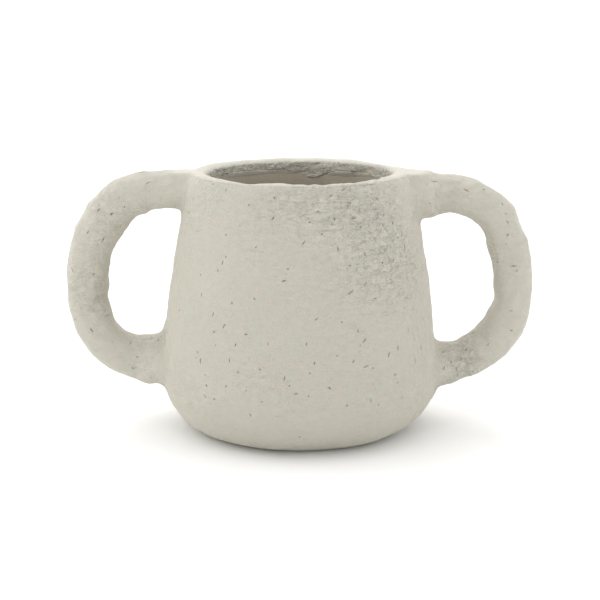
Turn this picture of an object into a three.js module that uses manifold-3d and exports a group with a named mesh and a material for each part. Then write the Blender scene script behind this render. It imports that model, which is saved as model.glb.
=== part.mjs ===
// A two-handled plant pot of paper pulp, in millimetres, +Z up.
// The pot stands on the XY plane with its axis on Z. Its handles lie in the XZ plane, on -X and +X.

import * as THREE from 'three';
import { mergeVertices } from 'three/addons/utils/BufferGeometryUtils.js';
import Module from 'manifold-3d';

const wasm = await Module();
wasm.setup();

// The pot's outside: a flat foot, a low belly, a wall that leans in, and a rounded lip
const POT_HEIGHT = 185.5;
const FOOT_RADIUS = 65;
const BELLY_RADIUS = 99.8;
const BELLY_HEIGHT = 39;
const WALL_BOW = 1.35;
const SHOULDER_DROP = 16;
const MOUTH_RADIUS = 65.3;
const CREST_INSET = 8.7;
const LIP_WIDTH = 16.3;

// The pot's inside
const WALL = 13;
const FLOOR = 12;
const LIP_INNER_DROP = 3.5;

// The floor disc sits on a ledge inside the foot
const FOOT_RING = 11;
const LEDGE_WIDTH = 8;
const LEDGE_HEIGHT = 6;

// The strip of pulp pasted over the seam between floor and wall
const STRIP_INNER_REACH = 12;
const STRIP_RISE = 9;
const STRIP_EDGE = 1;
const STRIP_CROWN = 3.5;

// The band folded over the mouth's edge
const BAND_THICKNESS = 1.7;
const BAND_HANG = 10.5;
const BAND_START_ANGLE = THREE.MathUtils.degToRad(62);

// The waterproof coat stops a little below the band
const LINING_THICKNESS = 0.9;
const LINING_STOP = 4;

// The handles: each is thicker or thinner at five stations from its upper to its lower end
const HANDLE_SEAT = 8;
const HANDLE_CORNER = 2.5;
const UPPER_ARM = 17;
const LOWER_ARM = 2;
const LEFT_HANDLE = {
  side: -1,
  reach: 167.3,
  rimDrop: 2.6,
  widestHeight: 99,
  lowerHeight: 47.3,
  upperFullness: 0.625,
  lowerFullness: 0.65,
  thickness: [22.5, 30.5, 28, 28, 29.5],
  depth: 32,
  upperFlare: 1,
  lowerFlare: 2.5,
};
const RIGHT_HANDLE = {
  side: 1,
  reach: 167.4,
  rimDrop: 2.6,
  widestHeight: 98,
  lowerHeight: 44,
  upperFullness: 0.65,
  lowerFullness: 0.53,
  thickness: [27, 26, 26.5, 28, 25],
  depth: 30,
  upperFlare: 7,
  lowerFlare: 1.5,
};

// The wire inside each handle
const WIRE_DIAMETER = 4;

// The pulp smeared round each end of a handle
const COLLAR_LENGTH = 13;
const COLLAR_EDGE = 1.3;
const COLLAR_RIM_DROP = 0.8;

// The gap between pieces that touch
const FIT = 0.3;

// How finely round shapes are faceted
const ROUND_SEGMENTS = 40;
const FOOT_STEPS = 6;
const WALL_STEPS = 5;
const LIP_STEPS = 4;
const CREST_STEPS = 2;
const STRIP_STEPS = 4;
const HANDLE_SIDES = 18;
const HANDLE_STEPS = 25;
const WIRE_SIDES = 8;
const COLLAR_STEPS = 3;

// Sizes that follow from the ones above
const SHOULDER_HEIGHT = POT_HEIGHT - SHOULDER_DROP;
const SHOULDER_RADIUS = MOUTH_RADIUS + LIP_WIDTH;
const CREST_RADIUS = MOUTH_RADIUS + CREST_INSET;
const NECK_RADIUS = MOUTH_RADIUS + BAND_THICKNESS + FIT;
const BAND_BOTTOM = POT_HEIGHT - BAND_HANG;
const LINING_TOP = BAND_BOTTOM - LINING_STOP;
const FOOT_HOLE_RADIUS = FOOT_RADIUS - FOOT_RING;
const LEDGE_RADIUS = FOOT_HOLE_RADIUS + LEDGE_WIDTH;

// Materials

const pulp = { color: 0xc8c4b8, roughness: 0.95, metalness: 0 };
const insidePulp = { color: 0xaaa294, roughness: 0.95, metalness: 0 };
const wire = { color: 0x8c8c88, roughness: 0.45, metalness: 0.9 };
const coat = { color: 0x8d857a, roughness: 0.6, metalness: 0 };

// Profiles are lists of points (radius, height). The outside runs up from the foot to the crest.

function range(count) {
  return Array.from({ length: count + 1 }, (_, index) => index / count);
}

function footArc(centreRadius, edgeRadius, bottom, top) {
  return range(FOOT_STEPS).map((part) => {
    const angle = part * Math.PI / 2;
    const radius = centreRadius + (edgeRadius - centreRadius) * Math.sin(angle);
    return new THREE.Vector2(radius, bottom + (top - bottom) * (1 - Math.cos(angle)));
  });
}

function wallRadius(height) {
  const climb = Math.max(0, (height - BELLY_HEIGHT) / (SHOULDER_HEIGHT - BELLY_HEIGHT));
  return BELLY_RADIUS + (SHOULDER_RADIUS - BELLY_RADIUS) * climb ** WALL_BOW;
}

function wallLine(inset, bottom, top) {
  return range(WALL_STEPS).map((part) => {
    const height = THREE.MathUtils.lerp(bottom, top, part);
    return new THREE.Vector2(wallRadius(height) - inset, height);
  });
}

function outerLip(fromAngle, toAngle, steps) {
  return range(steps).map((part) => {
    const angle = THREE.MathUtils.lerp(fromAngle, toAngle, part);
    const radius = CREST_RADIUS + (SHOULDER_RADIUS - CREST_RADIUS) * Math.cos(angle);
    return new THREE.Vector2(radius, SHOULDER_HEIGHT + SHOULDER_DROP * Math.sin(angle));
  });
}

function innerLip() {
  const curve = range(LIP_STEPS).slice(1).map((part) => {
    const angle = part * Math.PI / 2;
    const radius = CREST_RADIUS - CREST_INSET * Math.sin(angle);
    return new THREE.Vector2(radius, POT_HEIGHT - LIP_INNER_DROP * (1 - Math.cos(angle)));
  });
  return [...curve, new THREE.Vector2(MOUTH_RADIUS, BAND_BOTTOM)];
}

function outsideProfile() {
  return [
    ...footArc(FOOT_RADIUS, BELLY_RADIUS, 0, BELLY_HEIGHT),
    ...wallLine(0, BELLY_HEIGHT, SHOULDER_HEIGHT).slice(1),
    ...outerLip(0, BAND_START_ANGLE, LIP_STEPS).slice(1),
  ];
}

function insideProfile(top) {
  return [
    ...footArc(FOOT_RADIUS, BELLY_RADIUS - WALL, FLOOR, BELLY_HEIGHT),
    ...wallLine(WALL, BELLY_HEIGHT, top).slice(1),
  ];
}

function crestLine() {
  return outerLip(BAND_START_ANGLE, Math.PI / 2, CREST_STEPS);
}

function foldedLip() {
  return [...crestLine(), ...innerLip()];
}

// Each point moved to the left of the way the profile runs
function offset(points, distance) {
  const leftOf = (from, to) => {
    const way = to.clone().sub(from).normalize();
    return new THREE.Vector2(-way.y, way.x);
  };
  return points.map((point, index) => {
    const before = index > 0 ? leftOf(points[index - 1], point) : null;
    const after = index < points.length - 1 ? leftOf(point, points[index + 1]) : null;
    const normal = (before ?? after).clone().add(after ?? before).normalize();
    const reach = distance / normal.dot(before ?? after);
    const moved = point.clone().addScaledVector(normal, reach);
    return point.x === 0 ? new THREE.Vector2(0, moved.y) : moved;
  });
}

// Solids

function lathe(profile) {
  const closed = profile[0].x === 0 ? profile : [...profile, profile[0].clone()];
  return new THREE.LatheGeometry(closed, ROUND_SEGMENTS).rotateX(Math.PI / 2);
}

function toSolid(geometry) {
  const bare = geometry.clone();
  bare.deleteAttribute('normal');
  bare.deleteAttribute('uv');
  const merged = mergeVertices(bare);
  const corners = merged.index.array;
  const kept = [];
  for (let first = 0; first < corners.length; first += 3) {
    const [a, b, c] = corners.slice(first, first + 3);
    if (a !== b && b !== c && c !== a) kept.push(a, b, c);
  }
  const mesh = new wasm.Mesh({
    numProp: 3,
    vertProperties: new Float32Array(merged.attributes.position.array),
    triVerts: new Uint32Array(kept),
  });
  return new wasm.Manifold(mesh);
}

function toGeometry(solid) {
  const mesh = solid.getMesh();
  const geometry = new THREE.BufferGeometry();
  geometry.setAttribute('position', new THREE.BufferAttribute(mesh.vertProperties, 3));
  geometry.setIndex(new THREE.BufferAttribute(mesh.triVerts, 1));
  geometry.computeVertexNormals();
  return geometry;
}

// A round-cornered bar bent along a stretch of a path that lies in the XZ plane
function bentBar(path, from, to, halfSizesAt, sides, steps) {
  const geometry = new THREE.CylinderGeometry(1, 1, 1, sides, steps);
  const position = geometry.attributes.position;
  const depthWay = new THREE.Vector3(0, 1, 0);
  for (let index = 0; index < position.count; index += 1) {
    const place = THREE.MathUtils.lerp(from, to, position.getY(index) + 0.5);
    const across = position.getX(index);
    const deep = position.getZ(index);
    const powers = Math.abs(across) ** HANDLE_CORNER + Math.abs(deep) ** HANDLE_CORNER;
    const spread = powers > 0.1 ? powers ** (-1 / HANDLE_CORNER) : 0;
    const half = halfSizesAt(place);
    const acrossWay = path.getTangent(place).cross(depthWay);
    const point = path.getPoint(place)
      .addScaledVector(acrossWay, across * spread * half.across)
      .addScaledVector(depthWay, deep * spread * half.deep);
    position.setXYZ(index, point.x, point.y, point.z);
  }
  return toSolid(geometry);
}

// The pot body

function bodyOutline(gap) {
  const outside = [...outsideProfile(), ...crestLine().slice(1)];
  const grown = offset(outside, -gap);
  const underside = new THREE.Vector2(0, grown[0].y);
  const top = new THREE.Vector2(0, grown[grown.length - 1].y);
  return toSolid(lathe([underside, ...grown, top]));
}

function potWall(sockets) {
  const outside = outsideProfile();
  const lip = foldedLip();
  const underBand = offset(lip, BAND_THICKNESS + FIT);
  const edgeWay = lip[1].clone().sub(lip[0]).normalize();
  const edge = lip[0].clone().addScaledVector(edgeWay, -FIT);
  const edgeFoot = underBand[0].clone().addScaledVector(edgeWay, -FIT);
  const neckEnd = new THREE.Vector2(NECK_RADIUS, BAND_BOTTOM - FIT);
  const inside = insideProfile(neckEnd.y).reverse();
  const profile = [
    new THREE.Vector2(FOOT_HOLE_RADIUS, 0),
    ...outside.slice(0, -1),
    edge,
    edgeFoot,
    ...underBand.slice(1, -1),
    neckEnd,
    ...inside,
    new THREE.Vector2(LEDGE_RADIUS, FLOOR),
    new THREE.Vector2(LEDGE_RADIUS, LEDGE_HEIGHT),
    new THREE.Vector2(FOOT_HOLE_RADIUS, LEDGE_HEIGHT),
  ];
  const wall = sockets.reduce((solid, socket) => solid.subtract(socket), toSolid(lathe(profile)));
  return toGeometry(wall);
}

function potFloor() {
  return lathe([
    new THREE.Vector2(0, 0),
    new THREE.Vector2(FOOT_HOLE_RADIUS - FIT, 0),
    new THREE.Vector2(FOOT_HOLE_RADIUS - FIT, LEDGE_HEIGHT + FIT),
    new THREE.Vector2(LEDGE_RADIUS - FIT, LEDGE_HEIGHT + FIT),
    new THREE.Vector2(LEDGE_RADIUS - FIT, FLOOR),
    new THREE.Vector2(0, FLOOR),
  ]);
}

function rimBand() {
  const lip = foldedLip();
  return lathe([...lip, ...offset(lip, BAND_THICKNESS).reverse()]);
}

// The strip follows the inside from the floor, across the seam, to a little way up the wall
function stripPath() {
  const rise = insideProfile(SHOULDER_HEIGHT).filter((point) => point.y <= FLOOR + STRIP_RISE);
  const start = new THREE.Vector2(FOOT_RADIUS - STRIP_INNER_REACH, FLOOR);
  const path = new THREE.Path([start, ...rise]);
  return path.getSpacedPoints(STRIP_STEPS);
}

function stripFace() {
  const path = stripPath();
  return path.map((point, index) => {
    const rise = STRIP_EDGE + (STRIP_CROWN - STRIP_EDGE) * Math.sin(Math.PI * index / STRIP_STEPS);
    return offset(path, FIT + rise)[index];
  });
}

function floorStrip() {
  return lathe([...offset(stripPath(), FIT), ...stripFace().reverse()]);
}

function lining() {
  const strip = stripFace();
  const stripTop = strip[strip.length - 1].y;
  const path = [
    new THREE.Vector2(0, FLOOR),
    new THREE.Vector2(FOOT_RADIUS - STRIP_INNER_REACH - 2 * LINING_THICKNESS, FLOOR),
    ...strip,
    ...insideProfile(LINING_TOP).filter((point) => point.y > stripTop + 2 * LINING_THICKNESS),
  ];
  return lathe([...offset(path, FIT), ...offset(path, FIT + LINING_THICKNESS).reverse()]);
}

// The handles

function outerRadiusAt(height) {
  if (height <= BELLY_HEIGHT) {
    const fall = 1 - height / BELLY_HEIGHT;
    return FOOT_RADIUS + (BELLY_RADIUS - FOOT_RADIUS) * Math.sqrt(1 - fall ** 2);
  }
  if (height <= SHOULDER_HEIGHT) return wallRadius(height);
  const climb = (height - SHOULDER_HEIGHT) / SHOULDER_DROP;
  return CREST_RADIUS + (SHOULDER_RADIUS - CREST_RADIUS) * Math.sqrt(1 - climb ** 2);
}

function bend(from, to, fullness, upright) {
  const run = to.clone().sub(from);
  const level = new THREE.Vector3(run.x * fullness, 0, 0);
  const plumb = new THREE.Vector3(0, 0, run.z * fullness);
  const leaving = from.clone().add(upright ? plumb : level);
  const arriving = to.clone().sub(upright ? level : plumb);
  return new THREE.CubicBezierCurve3(from, leaving, arriving, to);
}

function handlePath(handle) {
  const upperHeight = POT_HEIGHT - handle.rimDrop - handle.thickness[0] / 2;
  const upperWall = outerRadiusAt(upperHeight);
  const lowerWall = outerRadiusAt(handle.lowerHeight);
  const widest = handle.reach - handle.thickness[2] / 2;
  const at = (radius, height) => new THREE.Vector3(handle.side * radius, 0, height);
  const upperBend = at(upperWall + UPPER_ARM, upperHeight);
  const side = at(widest, handle.widestHeight);
  const lowerBend = at(lowerWall + LOWER_ARM, handle.lowerHeight);
  const path = new THREE.CurvePath();
  path.add(new THREE.LineCurve3(at(upperWall - HANDLE_SEAT, upperHeight), upperBend));
  path.add(bend(upperBend, side, handle.upperFullness, false));
  path.add(bend(side, lowerBend, handle.lowerFullness, true));
  path.add(new THREE.LineCurve3(lowerBend, at(lowerWall - HANDLE_SEAT, handle.lowerHeight)));
  return path;
}

// The middle station is at the handle's widest point, where its first bend meets its second
function halfSizeAt(handle, path, place, extra) {
  const lengths = path.getCurveLengths();
  const middle = lengths[1] / lengths[lengths.length - 1];
  const halfway = (handle.thickness.length - 1) / 2;
  const station = halfway * (place < middle ? place / middle : 1 + (place - middle) / (1 - middle));
  const index = Math.min(Math.floor(station), handle.thickness.length - 2);
  const part = THREE.MathUtils.smoothstep(station - index, 0, 1);
  const thickness = THREE.MathUtils.lerp(handle.thickness[index], handle.thickness[index + 1], part);
  return { across: thickness / 2 + extra, deep: handle.depth / 2 + extra };
}

function handleBar(handle, path, gap) {
  const halfSizes = (place) => halfSizeAt(handle, path, place, gap);
  return bentBar(path, 0, 1, halfSizes, HANDLE_SIDES, HANDLE_STEPS);
}

function wireBar(path, gap) {
  const margin = (FIT - gap) / path.getLength();
  const half = WIRE_DIAMETER / 2 + gap;
  const halfSizes = () => ({ across: half, deep: half });
  return bentBar(path, margin, 1 - margin, halfSizes, WIRE_SIDES, HANDLE_STEPS);
}

// A collar flares from a thin edge on the handle to its full width at the wall
function collarBar(handle, path, isUpper) {
  const length = path.getLength();
  const end = (HANDLE_SEAT + COLLAR_LENGTH) / length;
  const flare = isUpper ? handle.upperFlare : handle.lowerFlare;
  const halfSizes = (place) => {
    const fromEnd = (isUpper ? place : 1 - place) * length - HANDLE_SEAT;
    const nearness = THREE.MathUtils.clamp(1 - fromEnd / COLLAR_LENGTH, 0, 1);
    return halfSizeAt(handle, path, place, FIT + COLLAR_EDGE + flare * nearness ** 2);
  };
  const from = isUpper ? 0 : 1 - end;
  return bentBar(path, from, from + end, halfSizes, HANDLE_SIDES, COLLAR_STEPS);
}

function belowRim() {
  const width = 4 * BELLY_RADIUS;
  const slab = new THREE.BoxGeometry(width, width, POT_HEIGHT);
  return toSolid(slab.translate(0, 0, POT_HEIGHT / 2 - COLLAR_RIM_DROP));
}

function collar(handle, path, isUpper, cutter) {
  const cut = collarBar(handle, path, isUpper).subtract(cutter).subtract(handleBar(handle, path, FIT));
  return toGeometry(isUpper ? cut.intersect(belowRim()) : cut);
}

// The assembly

const pot = new THREE.Group();

function place(name, geometry, look) {
  const mesh = new THREE.Mesh(geometry, new THREE.MeshStandardMaterial(look));
  mesh.name = name;
  pot.add(mesh);
}

function placeHandle(word, handle, path, cutter) {
  const bar = handleBar(handle, path, 0).subtract(cutter).subtract(wireBar(path, FIT));
  place(`${word}_handle`, toGeometry(bar), pulp);
  place(`${word}_handle_core`, toGeometry(wireBar(path, 0)), wire);
  place(`${word}_upper_collar`, collar(handle, path, true, cutter), pulp);
  place(`${word}_lower_collar`, collar(handle, path, false, cutter), pulp);
}

const leftPath = handlePath(LEFT_HANDLE);
const rightPath = handlePath(RIGHT_HANDLE);
const wallSurface = bodyOutline(FIT);

place('pot_wall', potWall([wireBar(leftPath, FIT), wireBar(rightPath, FIT)]), pulp);
place('pot_floor', potFloor(), pulp);
place('rim_band', rimBand(), pulp);
place('floor_seam_strip', floorStrip(), insidePulp);
place('lining', lining(), coat);
placeHandle('left', LEFT_HANDLE, leftPath, wallSurface);
placeHandle('right', RIGHT_HANDLE, rightPath, wallSurface);

export default pot;
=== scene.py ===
# A two-handled plant pot of paper pulp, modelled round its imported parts

import math
import random

import bmesh
import bpy
from mathutils import Matrix, Vector, noise
from mathutils.bvhtree import BVHTree


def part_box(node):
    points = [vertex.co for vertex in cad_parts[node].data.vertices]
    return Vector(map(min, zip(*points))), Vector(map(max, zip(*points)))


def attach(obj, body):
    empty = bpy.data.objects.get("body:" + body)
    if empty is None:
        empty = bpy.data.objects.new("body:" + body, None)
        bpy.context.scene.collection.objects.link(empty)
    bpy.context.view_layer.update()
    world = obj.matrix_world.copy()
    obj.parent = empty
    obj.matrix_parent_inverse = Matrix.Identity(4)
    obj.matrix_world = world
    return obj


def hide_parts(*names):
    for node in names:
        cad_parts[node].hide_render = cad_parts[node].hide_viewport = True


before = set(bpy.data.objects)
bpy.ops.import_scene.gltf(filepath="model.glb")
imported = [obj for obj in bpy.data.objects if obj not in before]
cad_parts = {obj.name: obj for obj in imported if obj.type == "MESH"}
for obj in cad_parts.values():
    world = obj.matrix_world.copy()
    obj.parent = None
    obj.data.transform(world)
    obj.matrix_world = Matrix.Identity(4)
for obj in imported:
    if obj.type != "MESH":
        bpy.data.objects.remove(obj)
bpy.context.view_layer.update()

MM = 0.001

# The lump of pulp that every pulp piece is cut from, in metres
CAD_SIDES = 40
WELD = 0.01 * MM
GRAIN = 1.45 * MM
BODY_GROWTH = 0.35 * MM
HANDLE_GROWTH = 0.45 * MM
LIP_SMOOTHINGS = 8
SMOOTHINGS = 14
FOOT_ZONE = 2 * MM
LIP_ZONE = 173 * MM
LIP_REACH = 84 * MM
PLUG_TOP = 167 * MM
CAVITY_TOP = 158 * MM
TAPER_TOP = 167 * MM
NECK_OPENING = 66.6 * MM
NECK_TOP = 171.4 * MM
ROUND_STEPS = 120
DRUM_SIDES = 48
WIRE_FIT = 0.35 * MM
COLLAR_MARGIN = 5 * MM
FLARE_SIDES = 32
FLARE_CUTS = 5
FLARE_START = 9 * MM
FLARE_INSET = 1.5 * MM
COLLAR_ROOT = 1.5 * MM
CUT_REACH = 10 * MM
SHARP_ANGLE = 50

SIDES = {"left": -1, "right": 1}
ENDS = ("upper", "lower")
BODY_NODES = ["pot_wall", "pot_floor", "rim_band"]
HANDLE_NODES = [f"{side}_handle" for side in SIDES]
CORE_NODES = [f"{side}_handle_core" for side in SIDES]
COLLAR_NODES = [f"{side}_{end}_collar" for side in SIDES for end in ENDS]

# The pulp smeared from the pot onto each collar: how far it reaches to the front and back at the
# pot, and how fast that falls off along the collar
FLARES = {
    "left_upper_collar": (30 * MM, 1.4),
    "left_lower_collar": (40 * MM, 1.0),
    "right_upper_collar": (40 * MM, 1.5),
    "right_lower_collar": (38 * MM, 0.8),
}


# The camera, at the photograph's place

CAMERA_PLACE = Vector((0.0, -1.0, 0.307))
CAMERA_AIM = Vector((0.0, 0.0, 0.0908))
CAMERA_LENS = 84.78


def point_at(holder, target):
    holder.rotation_euler = (target - holder.location).to_track_quat("-Z", "Y").to_euler()


def camera():
    data = bpy.data.cameras.new("camera")
    data.lens = CAMERA_LENS
    data.sensor_width = 36
    data.clip_start = 0.05
    data.clip_end = 500
    holder = bpy.data.objects.new("camera", data)
    holder.location = CAMERA_PLACE
    point_at(holder, CAMERA_AIM)
    bpy.context.scene.collection.objects.link(holder)
    bpy.context.scene.camera = holder
    bpy.context.view_layer.update()
    return holder


# Meshes and objects


def merged_copy(names, growth=0.0):
    """A bmesh of CAD nodes with their corners merged, each surface moved outwards by growth."""
    copy = bmesh.new()
    for name in names:
        copy.from_mesh(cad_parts[name].data)
    bmesh.ops.remove_doubles(copy, verts=copy.verts, dist=WELD)
    copy.normal_update()
    for vert in copy.verts:
        vert.co += vert.normal * growth
    return copy


def as_object(name, shape):
    """A bmesh as an object at the origin. The bmesh is freed."""
    mesh = bpy.data.meshes.new(name)
    shape.to_mesh(mesh)
    shape.free()
    piece = bpy.data.objects.new(name, mesh)
    bpy.context.scene.collection.objects.link(piece)
    return piece


def settle(piece):
    """Applies the piece's modifiers."""
    graph = bpy.context.evaluated_depsgraph_get()
    finished = bpy.data.meshes.new_from_object(piece.evaluated_get(graph))
    piece.modifiers.clear()
    piece.data = finished


def cut(piece, cutter, operation):
    """Joins, cuts or keeps the shared part of two closed shapes."""
    modifier = piece.modifiers.new("cut", "BOOLEAN")
    modifier.operation = operation
    modifier.solver = "MANIFOLD"
    modifier.object = cutter
    settle(piece)


def carve(stock, cell, name):
    """Takes the part of the stock inside the cell away as a piece of its own."""
    piece = stock.copy()
    piece.name = name
    bpy.context.scene.collection.objects.link(piece)
    cut(piece, cell, "INTERSECT")
    cut(stock, cell, "DIFFERENCE")
    bpy.data.objects.remove(cell)
    return piece


def section(name):
    """The outline of a round node as (radius, height), in order round its section at +Y."""
    shape = merged_copy([name])
    flat = 0.001 * MM
    corners = [vert for vert in shape.verts if abs(vert.co.x) < flat and vert.co.y > -flat]
    beside = {}
    for vert in corners:
        neighbours = [edge.other_vert(vert) for edge in vert.link_edges]
        beside[vert] = [other for other in neighbours if other in corners]
    start = min(corners, key=lambda vert: (len(beside[vert]), vert.co.z, vert.co.y))
    walk = [start]
    while ahead := [vert for vert in beside[walk[-1]] if vert not in walk]:
        walk.append(max(ahead, key=lambda vert: vert.co.y))
    outline = [(vert.co.y, vert.co.z) for vert in walk]
    shape.free()
    return outline


def spun(outline):
    """A closed ring from an outline of (radius, height), or a drum if it starts on the axis."""
    shape = bmesh.new()
    corners = [shape.verts.new((0, radius, height)) for radius, height in outline]
    pairs = list(zip(corners, corners[1:]))
    if outline[0][0] > 0:
        pairs.append((corners[-1], corners[0]))
    edges = [shape.edges.new(pair) for pair in pairs]
    bmesh.ops.spin(
        shape,
        geom=corners + edges,
        axis=(0, 0, 1),
        cent=(0, 0, 0),
        angle=2 * math.pi,
        steps=ROUND_STEPS,
        use_merge=True,
    )
    bmesh.ops.remove_doubles(shape, verts=shape.verts, dist=WELD)
    bmesh.ops.recalc_face_normals(shape, faces=shape.faces)
    return shape


def block(low, high):
    """A box between two corners."""
    shape = bmesh.new()
    bmesh.ops.create_cube(shape, size=1)
    middle = Matrix.Translation((low + high) / 2)
    stretch = Matrix.Diagonal((*(high - low), 1))
    bmesh.ops.transform(shape, matrix=middle @ stretch, verts=shape.verts)
    return shape


def drum(low, high):
    """An oval drum along X that fills a box."""
    shape = bmesh.new()
    bmesh.ops.create_cone(
        shape, cap_ends=True, segments=DRUM_SIDES, radius1=0.5, radius2=0.5, depth=1
    )
    middle = Matrix.Translation((low + high) / 2)
    stretch = Matrix.Diagonal((*(high - low), 1))
    turn = Matrix.Rotation(math.pi / 2, 4, "Y")
    bmesh.ops.transform(shape, matrix=middle @ stretch @ turn, verts=shape.verts)
    return shape


# The pulp, first as one lump: the wall, floor, band, handles and collars run into each other

wall_outline = section("pot_wall")
band_outline = section("rim_band")
floor_outline = section("pot_floor")
floor_top = floor_outline[-1][1]
wall_top_index = max(range(len(wall_outline)), key=lambda index: wall_outline[index][1])
outside_line = wall_outline[: wall_top_index + 1]
inside_line = [
    (radius, height)
    for radius, height in reversed(wall_outline[wall_top_index:])
    if height > floor_top - 0.1 * MM
]


def inside_radius(height):
    """The radius of the cavity at a height, from the CAD wall's section."""
    for (radius, low), (next_radius, high) in zip(inside_line, inside_line[1:]):
        if low <= height <= high and high > low:
            return radius + (next_radius - radius) * (height - low) / (high - low)
    return inside_line[-1][0]


def cavity(top, lowest, inset):
    """A closed drum that fills the cavity up to a height, kept off the wall by inset."""
    wall = [(radius - inset, height) for radius, height in inside_line if height < top]
    wall[0] = (wall[0][0], lowest)
    return [(0, lowest), *wall, (inside_radius(top) - inset, top)]


def round_off(shape):
    """Swells the flats of the CAD's many-sided rings back to a true round."""
    step = 2 * math.pi / CAD_SIDES
    for vert in shape.verts:
        azimuth = math.atan2(vert.co.y, vert.co.x)
        off_corner = azimuth % step - step / 2
        swell = math.cos(off_corner) / math.cos(step / 2)
        vert.co.x *= swell
        vert.co.y *= swell


def flare(name):
    """Pulp smeared from the pot out onto a collar, wide at the pot and narrowing to the collar."""
    low, high = (Vector(corner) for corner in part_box(name))
    side = math.copysign(1, high.x)
    near, far = sorted((abs(low.x), abs(high.x)))
    start = near - FLARE_START
    middle = (low.z + high.z) / 2
    half_height = (high.z - low.z) / 2 - FLARE_INSET
    spread, fall = FLARES[name]
    shape = bmesh.new()
    bmesh.ops.create_cone(
        shape, cap_ends=True, segments=FLARE_SIDES, radius1=1, radius2=1, depth=1
    )
    long_edges = [
        edge for edge in shape.edges if edge.verts[0].co.z * edge.verts[1].co.z < 0
    ]
    bmesh.ops.subdivide_edges(shape, edges=long_edges, cuts=FLARE_CUTS, use_grid_fill=True)
    for vert in shape.verts:
        along = vert.co.z + 0.5
        width = high.y + (spread - high.y) * (1 - along) ** fall
        x = side * (start + (far - start) * along)
        vert.co = Vector((x, vert.co.x * width, middle + vert.co.y * half_height))
    bmesh.ops.recalc_face_normals(shape, faces=shape.faces)
    return shape


def pulp_lump():
    lump = as_object("lump", merged_copy(BODY_NODES, BODY_GROWTH))
    plug = spun([*cavity(PLUG_TOP, floor_top - MM, -MM), (0, PLUG_TOP)])
    arms = merged_copy(HANDLE_NODES + CORE_NODES + COLLAR_NODES, HANDLE_GROWTH)
    whole = bmesh.new()
    whole.from_mesh(lump.data)
    for part in (plug, arms, *map(flare, COLLAR_NODES)):
        holder = bpy.data.meshes.new("part")
        part.to_mesh(holder)
        part.free()
        whole.from_mesh(holder)
        bpy.data.meshes.remove(holder)
    whole.to_mesh(lump.data)
    whole.free()
    remesh = lump.modifiers.new("grain", "REMESH")
    remesh.mode = "VOXEL"
    remesh.voxel_size = GRAIN
    settle(lump)
    return lump


def smooth(shape, verts, times):
    for _ in range(times):
        bmesh.ops.smooth_vert(
            shape, verts=verts, factor=0.5, use_axis_x=True, use_axis_y=True, use_axis_z=True
        )


# The relief of the surface. Lengths are in millimetres here, as the noise is sampled in them.
# Its vector noise is seeded by the clock unless it gets a seed.

RELIEF_SEED = 11
noise.seed_set(RELIEF_SEED)

# Size and height of broad lumps, finger presses and crumples, what shapes the crumples, the upright
# grain, and how rough the pulp is where it is calm and in patches
LUMPS = (42, 0.9)
PRESSES = (15, 0.5)
CALM_PRESSES = 0.7
CRUMPLES = (6.5, 1.1)
CRUMPLE_STRETCH = 1.6
CRUMPLE_BEND = (9, 2.5)
CRUMPLE_MOUNDS = (1.8, -0.45)
FINE_CRUMPLES = (0.6, 0.4)
UPRIGHT_GRAIN = (3.2, 16, 0.55)
CALM = 0.14
PATCHES = (38, 0.4)

# The handles: flats and their level, ridges as length, width and height, how much the ridges vary,
# and the middle and bend of the loops that the ridges follow
FLATS = (19, 1.7)
FLAT_LEVEL = 0.2
SMEARS = (34, 5.5, 0.7)
RIPPLES = (22, 3.2, 0.22)
SMEAR_CHANGE = (20, 0.6)
LOOP_X = 112
LOOP_HEIGHT = 108
LOOP_BEND = 45
ARM_ROUGHNESS = 0.04
ARM_START_LOW = 100
ARM_START_HIGH = 86
ARM_SPLIT = 140
ARM_FADE = 10

# Where the pulp was left rough, where it has an upright grain, and where its colour gets painted
# shade, on the collars' recesses and on faces turned from the light: centre, reach and strength
ROUGH_PLACES = [
    ((45, -70, 172), 27, 0.9),
    ((8, -80, 173), 24, 0.6),
    ((60, -64, 142), 28, 0.8),
    ((70, -60, 116), 24, 0.5),
    ((-17, -80, 168), 18, 0.3),
    ((35, -82, 125), 25, 0.3),
    ((-60, -45, 178), 18, 0.4),
    ((112, -12, 44), 13, 1.0),
    ((-112, -10, 46), 12, 0.5),
    ((-150, -14, 105), 24, 0.5),
    ((-128, -14, 148), 22, 0.5),
    ((125, -14, 40), 20, 0.4),
    ((110, -14, 165), 20, 0.4),
    ((-60, 70, 90), 50, 0.7),
    ((70, 60, 60), 45, 0.5),
]
GRAINY_PLACES = [
    ((88, -40, 70), 34, 1.0),
    ((80, -45, 115), 24, 0.6),
    ((-80, 52, 90), 40, 0.7),
]
# Painted shade: places where the colour is darkened because they lie in shade
PAINTED_SHADE_PLACES = [
    ((114, -14, 46), 12, 1.1),
    ((-141, -4, 118), 11, 0.8),
    ((-143, -6, 96), 12, 1.3),
    ((98, -16, 158), 13, 0.6),
]

# Where the pulp was laid on thicker than the plain solids: centre, reach and height
SWELLS = [
    ((-124, 0, 36), 17, 1.8),
    ((-98, 0, 69), 8, 2.4),
    ((-129, 0, 141), 12, 1.8),
    ((-110, 0, 157), 8, 1.2),
    ((96, 0, 154), 9, 2.4),
    ((98, 0, 23), 10, 2.6),
    ((138, 0, 128), 10, 1.6),
    ((147, 0, 161), 18, 1.4),
    ((157, 0, 55), 16, 1.2),
]

# Painted light: the rim's crest is painted paler than the rest as a painted highlight, and the
# handles a little lighter
PAINTED_CREST_LIGHT = 0.6
PAINTED_CREST_FROM = (183.2, 184.8)
PAINTED_ARM_LIGHT = 0.16

# The rim's wave, as how often and how high, and its rises and dips: azimuth and width in degrees,
# and height
RIM_WAVE = (2.2, 0.5)
RIM_LIFTS = [
    (-120, 7, -1.2),
    (-90, 60, -0.8),
    (-60, 15, -1.3),
    (90, 60, -0.5),
    (84, 15, 0.6),
    (28, 16, -0.8),
    (-90, 9, -0.8),
]
LIP_OUTSIDE = 90
LIP_RISE = (164, 180)

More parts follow.
